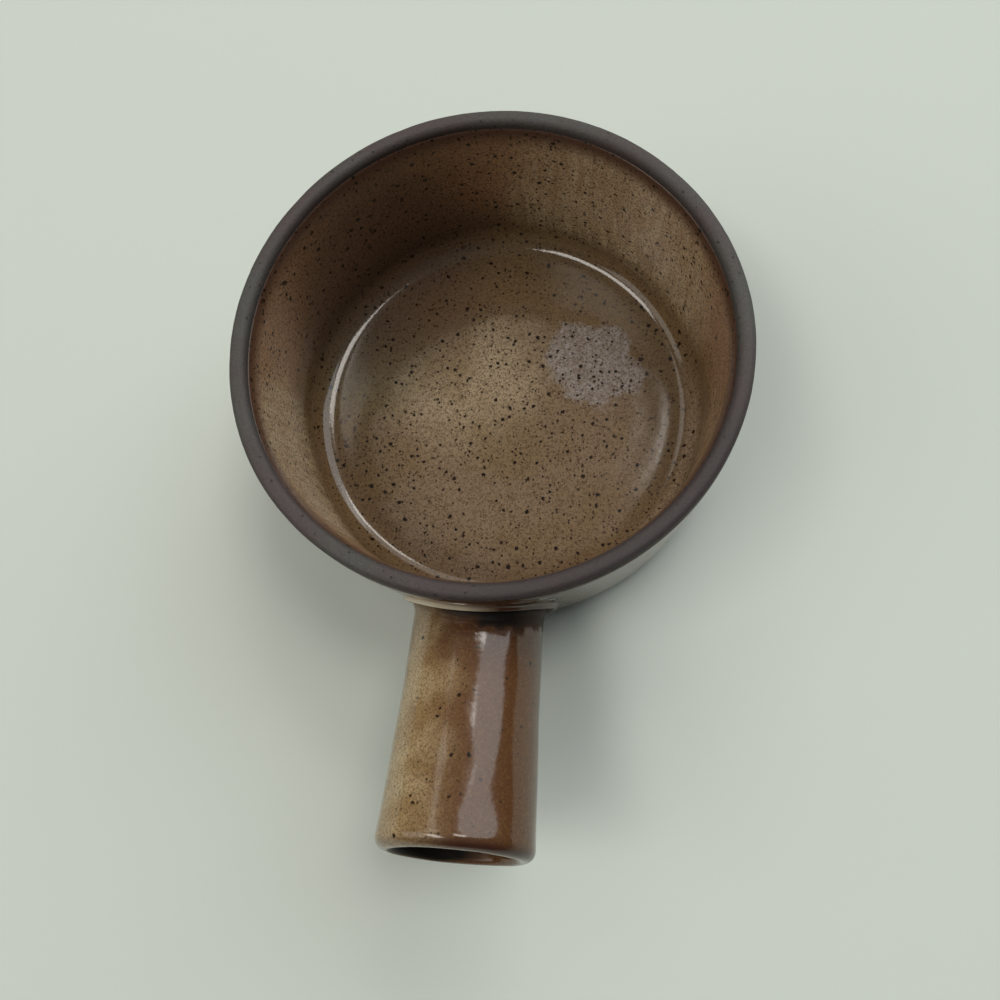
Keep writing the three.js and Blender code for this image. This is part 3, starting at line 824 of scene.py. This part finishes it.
def dipped_wall_glaze():
    """The same glaze dipped thinner on the outside: darker and redder, breaking to red-brown at
    both edges, with the liner's iron specks."""
    material, tree, place = new_material("dipped_wall_glaze")
    height = node(tree, "SeparateXYZ", {"Vector": place}).node.outputs["Z"]
    melt = node(tree, "TexNoise", {"Vector": place, "Scale": 1 / WALL_MELT, "Detail": 3.0})
    stipple = node(tree, "TexNoise", {"Vector": place, "Scale": 1 / WALL_STIPPLE, "Detail": 3.0,
                                      "Roughness": 0.75})
    colour = overlaid(tree, WALL_COLOUR, WALL_CLOUD, (melt, *WALL_CLOUDED))
    for heights in WALL_EDGES_HEIGHTS:
        colour = overlaid(tree, colour, WALL_EDGE, (height, *heights))
    colour = overlaid(tree, colour, WALL_STIPPLE_COLOUR, (stipple, *WALL_STIPPLED))
    gloss(tree, place, specked(tree, place, colour, LINER_SPECKS), GLAZE_ROUGHNESS)
    return material


WALL_LINE = outside_line(GLAZE_STEP)
WALL_SKIN = coat(WALL_LINE, True, WALL_TAPER, True)
WALL_SKIN_ROWS = len(WALL_SKIN)
WALL_SEAT = shifted(WALL_LINE, [GLAZE_SEAT] * len(WALL_LINE))[::-1]
wall_back = WALL_SEAT[:1] + WALL_SEAT[WALL_SEAT_END:-WALL_SEAT_END:SEAT_EVERY] + WALL_SEAT[-1:]
wall = spin("wall_coat", WALL_SKIN + wall_back, BOWL_COLUMNS, wall_relief)
open_for_handle(wall)
wall.data.materials.append(dipped_wall_glaze())
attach(wall, "root")
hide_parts("wall_glaze")

# The glaze on the handle
# A lighter, golden coat of the same glaze, mottled where it ran thin over the throwing rings.
# It runs from the bore round the mouth, along the outside and over the luted joint to the wall.
HANDLE_LENGTH = 55.8 * MM
HANDLE_MOUTH = 17.4 * MM
FLARE_SAG = 0.4 * MM
HANDLE_WALL = 3 * MM
MOUTH_OUTER_ROUND = 2 * MM
MOUTH_INNER_ROUND = 0.8 * MM
TOE_SINK = 0.04 * MM
BORE_SINK = 0.3 * MM
# How finely the mesh follows the handle: faces round it, rows in the bore, on the mouth's two
# rounds, along the tube, over the coil and at its toe. The seat has one row to six of the skin.
HANDLE_COLUMNS = 320
BORE_ROWS = 28
MOUTH_INNER_ROWS = 8
MOUTH_OUTER_ROWS = 12
TUBE_ROWS = 64
COIL_ROWS = 24
TOE_ROWS = 3
HANDLE_SEAT_EVERY = 6
WALL_REACH_TRIES = 24
# The throwing rings lean round the handle, by so much and turned so far.
HANDLE_RING = (0.06 * MM, 27 * MM, 2, 30 * MM, 13)
HANDLE_RING_LEAN = 0.8
HANDLE_RING_TURN = 1
HANDLE_SWELLS = ((0.11 * MM, 13 * MM, 11), (0.02 * MM, 3.5 * MM, 12))
HANDLE_INSET = 0.04 * MM
# Marks of the fingers that drew the handle: the distance from the wall, the angle round the
# handle and the height of each, and the length and the angle that all of them take up.
FINGER_MARKS = ((11 * MM, -0.5, 0.25 * MM), (34 * MM, -0.45, 0.06 * MM), (49 * MM, -0.42, -0.35 * MM))
FINGER_LENGTH = 6 * MM
FINGER_WIDTH = 0.3
# The roll that stands on the joint and the crevice between it and the handle: the height, and the
# place from the handle to the wall and the width as shares of the coil.
COIL_FORMS = ((1.0 * MM, 0.82, 0.12), (-0.6 * MM, 0.55, 0.1))


def tube_radius(along):
    share = max(along, 0) / HANDLE_LENGTH
    return HANDLE_ROOT + (HANDLE_MOUTH - HANDLE_ROOT) * share - 4 * FLARE_SAG * share * (1 - share)


def bore_radius(along):
    return tube_radius(along) - HANDLE_WALL - GLAZE_SKIN


def skin_radius(along):
    return tube_radius(along) + GLAZE_SKIN


def wall_skin_radius(height):
    """The outside of the bowl's wall, over its glaze, at a height."""
    if height < WALL_BASE:
        below = min(WALL_BASE - height, LOWER_CURVE)
        return FOOT_RADIUS + math.sqrt(LOWER_CURVE ** 2 - below ** 2) + GLAZE_SKIN
    share = (height - WALL_BASE) / (WALL_TOP - WALL_BASE)
    return WALL_BASE_RADIUS + (WALL_TOP_RADIUS - WALL_BASE_RADIUS) * share + GLAZE_SKIN


def wall_reach(radius, angle):
    """The distance along the handle at which a line beside its axis meets the wall's skin."""
    inside, outside = -LIP_RADIUS, LIP_RADIUS
    for _ in range(WALL_REACH_TRIES):
        middle = (inside + outside) / 2
        spot = beside_handle(radius, angle, middle)
        if math.hypot(spot.x - POT_AXIS.x, spot.y - POT_AXIS.y) < wall_skin_radius(spot.z):
            inside = middle
        else:
            outside = middle
    return outside


def handle_section(angle):
    """The skin of the coat at an angle round the handle, from inside the bore to the wall."""
    inner = MOUTH_INNER_ROUND + GLAZE_SKIN
    outer = MOUTH_OUTER_ROUND + GLAZE_SKIN
    bore_start = wall_reach(HANDLE_ROOT - HANDLE_WALL, angle) - BORE_SINK
    bore_end = HANDLE_LENGTH + GLAZE_SKIN - inner
    tube_end = HANDLE_LENGTH + GLAZE_SKIN - outer
    corner = wall_reach(skin_radius(0), angle)
    head = corner + COIL_LEG
    toe_radius = HANDLE_ROOT + COIL_LEG + GLAZE_SKIN
    bore = [bore_start + (bore_end - bore_start) * i / BORE_ROWS for i in range(BORE_ROWS)]
    tube = [tube_end + (head - tube_end) * i / TUBE_ROWS for i in range(1, TUBE_ROWS)]
    line = [Vector((bore_radius(s), s)) for s in bore]
    line += arc((bore_radius(bore_end) + inner, bore_end), inner, 180, 90, MOUTH_INNER_ROWS)
    line += arc((skin_radius(tube_end) - outer, tube_end), outer, 90, 0, MOUTH_OUTER_ROWS)
    line += [Vector((skin_radius(s), s)) for s in tube]
    start = Vector((skin_radius(head), head))
    bend = Vector((skin_radius(corner), corner))
    toe = Vector((toe_radius, wall_reach(toe_radius, angle) - TOE_SINK))
    wiped = [i / COIL_ROWS for i in range(COIL_ROWS + 1)]
    line += [(1 - t) ** 2 * start + 2 * t * (1 - t) * bend + t ** 2 * toe for t in wiped]
    return line


def hump(value, middle, width):
    return math.exp(-(((value - middle) / width) ** 2))


def handle_relief(angle, point, along_coil):
    """The thrower's finger rings, flats and swells where the handle was drawn, and a coat that
    lies unevenly. On the joint, a rounded roll stands under the lip, with a narrow crevice where
    it meets the handle."""
    if along_coil > 0:
        return sum(height * hump(along_coil, middle, width) for height, middle, width in COIL_FORMS)
    place = (point.x * math.sin(angle), point.y, point.x * math.cos(angle))
    lean = HANDLE_RING_LEAN * math.sin(angle + HANDLE_RING_TURN)
    drawn = 0
    for along, turn, height in FINGER_MARKS:
        aside = math.remainder(angle - turn, 2 * math.pi)
        drawn += height * hump(point.y, along, FINGER_LENGTH) * hump(aside, 0, FINGER_WIDTH)
    ring = throwing_ring(point.y, lean, place, HANDLE_RING)
    return ring + swell(place, HANDLE_SWELLS) + drawn - HANDLE_INSET


# Where the glaze ran thick and dark, with painted shade in it. It fills the crevice of the joint,
# least on the left side of the handle, and spreads from it over the right side with a scalloped
# edge, so many rows wide.
CREVICE = (0.42, 0.28)
CREVICE_SIDE = (-9 * MM, -2 * MM)
CREVICE_LEAST = 0.35
SPREAD_SIDE = (-1 * MM, 3 * MM)
SPREAD_ON_COIL = (0.7, 0.5)
SPREAD_ON_TUBE = (1, 0.3)
SCALLOP_ROWS = 1.5
SCALLOP_WAVE_ROWS = 6
SCALLOP_WAVE = 3 * MM
SCALLOP_SEED = 21
SCALLOP_WIDENS = (1 * MM, 8 * MM)
# It also darkens the bore with painted shade, up to a row that lies further out on the left side.
BORE_SIDE = (0, 7 * MM)
BORE_EDGE_SIDE = (1 * MM, -6 * MM)
BORE_EDGE_ROWS = 4
BORE_FADE_ROWS = 5
# Where it broke thin and dark over the mouth's edge, most on the right side, and a pale cream
# painted highlight on the roll of the joint, on the left side.
THIN_ROWS = (BORE_ROWS + 15, 4)
THIN_SIDE = (-7 * MM, 3 * MM)
THIN_LEAST = 0.3
ROLL_HIGHLIGHT_PLACE = (0.84, 0.14)
ROLL_HIGHLIGHT_SIDE = (7 * MM, -2 * MM)


def glaze_breaks(spot, row, along_coil, coil_row):
    """Three values that ride on the coat: one where the glaze ran thick and dark, with painted shade in
    the crevice and the bore, one where it broke dark over the mouth's edge, and one for a painted
    highlight on the joint's roll."""
    depth = CREVICE_LEAST + (1 - CREVICE_LEAST) * grade_of(spot.x, *CREVICE_SIDE)
    right = grade_of(spot.x, *SPREAD_SIDE)
    if along_coil:
        crevice = max(hump(along_coil, *CREVICE), right * grade_of(along_coil, *SPREAD_ON_COIL))
    else:
        wave = SCALLOP_WAVE_ROWS * max(0, ripple(spot, SCALLOP_WAVE, SCALLOP_SEED))
        scallop = SCALLOP_ROWS + wave + grade_of(spot.x, *SCALLOP_WIDENS)
        crevice = right * grade_of((coil_row - row) / scallop, *SPREAD_ON_TUBE)
    edge = BORE_ROWS + BORE_EDGE_ROWS * grade_of(spot.x, *BORE_EDGE_SIDE)
    bore = grade_of(row, edge + BORE_FADE_ROWS, edge) * (1 - grade_of(spot.x, *BORE_SIDE))
    thin = hump(row, *THIN_ROWS) * (THIN_LEAST + (1 - THIN_LEAST) * grade_of(spot.x, *THIN_SIDE))
    roll_highlight = hump(along_coil, *ROLL_HIGHLIGHT_PLACE) * grade_of(spot.x, *ROLL_HIGHLIGHT_SIDE)
    return max(bore, depth * crevice), thin, roll_highlight


def glaze_handle():
    """The coat as a closed skin: each section's face, and behind it its seat in the clay."""
    vertices = []
    breaks = []
    for j in range(HANDLE_COLUMNS):
        angle = 2 * math.pi * j / HANDLE_COLUMNS
        section = handle_section(angle)
        last = len(section) - 1
        coil = [max(0, 1 - (last - i) / COIL_ROWS) for i in range(last + 1)]
        depths = [handle_relief(angle, p, t) for p, t in zip(section, coil)]
        depths = [d * min(1, (last - i) / TOE_ROWS) for i, d in enumerate(depths)]
        skin = [beside_handle(p.x, angle, p.y) for p in shifted(section, depths)]
        seat = shifted(section, [GLAZE_SEAT - GLAZE_SKIN] * len(section))[::-HANDLE_SEAT_EVERY]
        vertices += skin + [beside_handle(p.x, angle, p.y) for p in seat]
        for i, (spot, t) in enumerate(zip(skin, coil)):
            breaks.append(glaze_breaks(spot, i, t, last - COIL_ROWS))
        breaks += [(0, 0, 0)] * len(seat)
    rows = len(vertices) // HANDLE_COLUMNS
    faces = []
    for j in range(HANDLE_COLUMNS):
        k = (j + 1) % HANDLE_COLUMNS
        for i in range(rows):
            n = (i + 1) % rows
            faces.append((j * rows + i, j * rows + n, k * rows + n, k * rows + i))
    made = mesh_object("handle_coat", vertices, faces)
    for name, values in zip(("pool_and_shade", "thin", "roll_highlight"), zip(*breaks)):
        made.data.attributes.new(name, "FLOAT", "POINT").data.foreach_set("value", values)
    return made


HANDLE_SPECKS = (
    (3.6 * MM, 0.6 * MM, 0.1, 0.9),
    (1.3 * MM, 0.26 * MM, 0.2, 0.8),
    (0.6 * MM, 0.15 * MM, 0.3, 0.7),
)
# The handle's colour follows its melt, which pushes the stains to one side and along the handle.
HANDLE_MELT = 9 * MM
SIDE_PUSH = 8 * MM
ALONG_PUSH = 10 * MM
HANDLE_TAN = "#b5a17b"
HANDLE_CLOUD = "#a0875e"
HANDLE_CLOUDED = (0.36, 0.66)
# It is darker down the right side, partly redder glaze and partly painted shade on the side away
# from the main lamp, darkest at the root, which lies where the lip's circle is, partly painted shade
# under the lip, and browner at the mouth.
HANDLE_START = POT_AXIS.y - LIP_RADIUS
RIGHT_SIDE = "#5d3e28"
RIGHT_SIDE_ACROSS = (-11.5 * MM, 8.5 * MM)
ROOT = "#44291c"
ROOT_ALONG = (HANDLE_START - 12 * MM, HANDLE_START + 1 * MM, 0, 0.92)
ROOT_ACROSS = (-8 * MM, 2 * MM, 0.35, 1)
MOUTH = "#6b4b34"
MOUTH_ALONG = (HANDLE_START - 44 * MM, HANDLE_START - 52 * MM, 0, 0.6)
# Golden flecks and brown stipple. The real ones are under 0.2 mm, too fine for this view, so
# they are drawn at about three times that.
FLECK = 0.7 * MM
FLECK_COLOUR = "#8b6c40"
FLECKED = (0.5, 0.64, 0, 0.34)
HANDLE_STIPPLE = 0.5 * MM
HANDLE_STIPPLE_COLOUR = "#4f351f"
HANDLE_STIPPLED = (0.44, 0.6, 0, 0.6)
# A painted highlight on the joint's roll.
ROLL_HIGHLIGHT = "#c6bba3"
THIN = "#3a2015"
# Painted shade: near black in the crevice and the bore, browner towards the right.
POOL_AND_SHADE = "#1c1916"
POOL_AND_SHADE_RIGHT = "#3a2b21"
POOL_AND_SHADE_RIGHT_ACROSS = (9 * MM, 15 * MM)
# The pooled glaze and its painted shade are duller, and so is the thin glaze on the mouth's edge.
POOL_AND_SHADE_ROUGHNESS = {"From Min": 0, "From Max": 0.5, "To Min": 0.12, "To Max": 0.42}
POOL_AND_SHADE_SHINE = {"From Min": 0, "From Max": 0.5, "To Min": 0.5, "To Max": 0.06}
THIN_ROUGHNESS = 0.14


def dipped_handle_glaze():
    """The same glaze over a buff slip: golden tan with a fine brown stipple, reddish dark brown where it
    ran thin at the mouth, and darker, partly with painted shade, at the joint, the root, the bore and
    down the right side. A painted highlight lies on the joint's roll."""
    material, tree, place = new_material("dipped_handle_glaze")
    parts = node(tree, "SeparateXYZ", {"Vector": place}).node.outputs
    melt = node(tree, "TexNoise", {"Vector": place, "Scale": 1 / HANDLE_MELT, "Detail": 3.0})
    across = node(tree, "Math", {0: melt, 1: SIDE_PUSH, 2: parts["X"]}, operation="MULTIPLY_ADD")
    along = node(tree, "Math", {0: melt, 1: ALONG_PUSH, 2: parts["Y"]}, operation="MULTIPLY_ADD")
    colour = overlaid(tree, HANDLE_TAN, HANDLE_CLOUD, (melt, *HANDLE_CLOUDED))
    # Partly painted shade down the right side.
    colour = overlaid(tree, colour, RIGHT_SIDE, (across, *RIGHT_SIDE_ACROSS))
    # Partly painted shade at the root, under the lip.
    colour = overlaid(tree, colour, ROOT, (along, *ROOT_ALONG), (across, *ROOT_ACROSS))
    colour = overlaid(tree, colour, MOUTH, (along, *MOUTH_ALONG))
    fleck = node(tree, "TexNoise", {"Vector": place, "Scale": 1 / FLECK, "Detail": 4.0, "Roughness": 0.8})
    stipple = node(tree, "TexNoise", {"Vector": place, "Scale": 1 / HANDLE_STIPPLE, "Detail": 4.0,
                                      "Roughness": 0.8})
    colour = overlaid(tree, colour, FLECK_COLOUR, (fleck, *FLECKED))
    colour = overlaid(tree, colour, HANDLE_STIPPLE_COLOUR, (stipple, *HANDLE_STIPPLED))
    colour = specked(tree, place, colour, HANDLE_SPECKS)

    pool_and_shade, thin, roll_highlight = [node(tree, "Attribute", attribute_name=name).node.outputs["Fac"]
                         for name in ("pool_and_shade", "thin", "roll_highlight")]
    pooled_shade = overlaid(tree, POOL_AND_SHADE, POOL_AND_SHADE_RIGHT, (parts["X"], *POOL_AND_SHADE_RIGHT_ACROSS))
    for share, tint in ((roll_highlight, ROLL_HIGHLIGHT), (thin, THIN), (pool_and_shade, pooled_shade)):
        colour = node(tree, "Mix", {"Factor": share, 6: colour, 7: tint}, data_type="RGBA")
    dull = node(tree, "MapRange", {"Value": pool_and_shade, **POOL_AND_SHADE_ROUGHNESS}, interpolation_type="SMOOTHSTEP")
    roughness = node(tree, "Math", {0: thin, 1: THIN_ROUGHNESS, 2: dull}, operation="MULTIPLY_ADD")
    gloss(tree, place, colour, roughness)
    shine = node(tree, "MapRange", {"Value": pool_and_shade, **POOL_AND_SHADE_SHINE}, interpolation_type="SMOOTHSTEP")
    tree.links.new(shine, tree.nodes["Principled BSDF"].inputs["Specular IOR Level"])
    return material


handle = glaze_handle()
handle.data.materials.append(dipped_handle_glaze())
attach(handle, "root")
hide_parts("handle_glaze")
